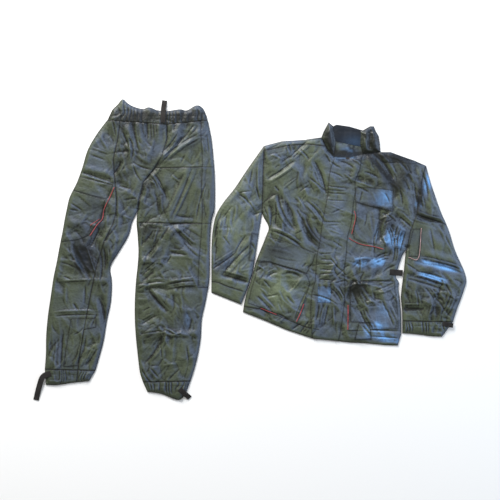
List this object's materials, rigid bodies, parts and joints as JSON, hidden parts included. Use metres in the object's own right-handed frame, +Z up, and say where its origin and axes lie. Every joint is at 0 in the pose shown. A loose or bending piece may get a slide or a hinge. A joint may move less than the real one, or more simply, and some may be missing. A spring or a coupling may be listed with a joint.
{
  "type": "jacket and trousers set",
  "caption": "Waterproof jacket and matching trousers in thin shiny dark nylon, laid flat side by side, with zip flap, patch pockets, gathered waist and hems and red piping.",
  "frame": {"origin": "centre of the bounding box's underside, on the surface that the set lies on", "axes": "+X to the viewer's right as the set is looked at from above, from the trousers towards the jacket; +Y towards the collar and the waistband; +Z up from the surface"},
  "size_m": [1.5579, 1.084, 0.019],
  "materials": {
    "nylon": "shiny coated nylon, dark olive grey",
    "nylon_blue": "shiny coated nylon, dark blue grey",
    "lining": "matt lining",
    "piping": "dull red piping",
    "pale_piping": "pale pink piping",
    "webbing": "black webbing and tape"
  },
  "bodies": {
    "root": {"back_body": "nylon", "back_left_leg": "nylon", "back_left_sleeve": "nylon", "back_right_leg": "nylon", "back_right_sleeve": "nylon", "cargo_flap": "nylon", "cargo_piping": "piping", "cargo_piping_fork": "piping", "cargo_pocket": "nylon_blue", "chest_flap": "nylon_blue", "chest_piping_level": "piping", "chest_piping_upright": "piping", "chest_pocket": "nylon_blue", "collar_back": "lining", "collar_left": "nylon", "collar_right": "nylon", "cuff_left": "nylon", "cuff_right": "nylon", "cuff_right_back": "nylon", "cuff_tab_right": "webbing", "flap_square": "nylon_blue", "front_left": "nylon", "front_left_leg": "nylon", "front_left_side": "nylon_blue", "front_right": "nylon_blue", "front_right_knee": "nylon", "front_right_lower": "nylon", "front_right_upper": "nylon", "front_zip": "webbing", "hanging_loop": "webbing", "hem_band_left": "nylon", "hem_band_right": "nylon_blue", "hem_left": "nylon", "hem_left_back": "nylon", "hem_right": "nylon", "hem_right_back": "nylon", "hem_strap_left": "webbing", "hem_tab": "nylon_blue", "hem_tab_right": "webbing", "leg_gusset": "nylon", "pocket_left": "nylon", "pocket_left_low_piping": "piping", "pocket_left_piping": "piping", "pocket_right": "nylon_blue", "pocket_right_piping": "piping", "shoulder_left": "nylon", "shoulder_right": "nylon", "side_placket": "nylon", "sleeve_left": "nylon", "sleeve_patch": "nylon", "sleeve_piping": "pale_piping", "sleeve_right_lower": "nylon", "sleeve_right_upper": "nylon_blue", "storm_flap": "nylon", "waist_belt": "nylon", "waist_strap": "webbing", "waistband_back": "nylon", "waistband_front": "nylon"}
  },
  "joints": []
}
